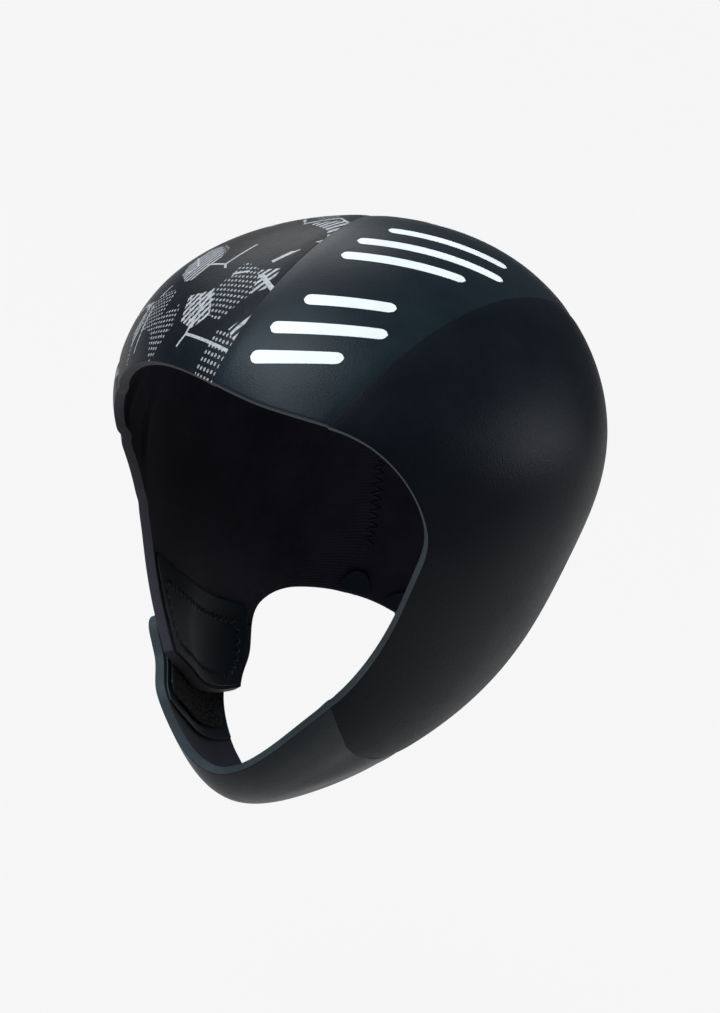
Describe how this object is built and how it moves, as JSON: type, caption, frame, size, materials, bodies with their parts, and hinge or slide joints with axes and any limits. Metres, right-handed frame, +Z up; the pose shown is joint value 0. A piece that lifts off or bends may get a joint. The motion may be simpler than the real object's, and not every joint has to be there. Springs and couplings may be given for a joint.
{
  "type": "neoprene swim cap",
  "caption": "Swim cap of sheet neoprene with a crown panel, two side panels and a wide chin strap that closes with a hook-and-loop patch on the right cheek flap.",
  "frame": {"origin": "top of the head inside the crown", "axes": "+Z up, -Y the face side, +X the wearer's left"},
  "size_m": [0.1505, 0.1947, 0.1997],
  "materials": {
    "smooth_skin": "blue-black smooth-skin neoprene with a soft sheen",
    "side_skin": "blue-black neoprene with a soft sheen and a dark jersey lining",
    "facing": "thin smooth dark facing",
    "hook": "matt black hook tape",
    "loop": "matt black loop pile"
  },
  "bodies": {
    "root": {"crown_panel": "smooth_skin", "side_panel_left": "side_skin", "side_panel_right": "side_skin", "chin_strap": "smooth_skin", "strap_facing": "facing", "hook_patch": "hook", "loop_patch": "loop", "flap_facing": "facing", "nape_patch_left": "facing", "nape_patch_right": "facing"}
  },
  "joints": []
}
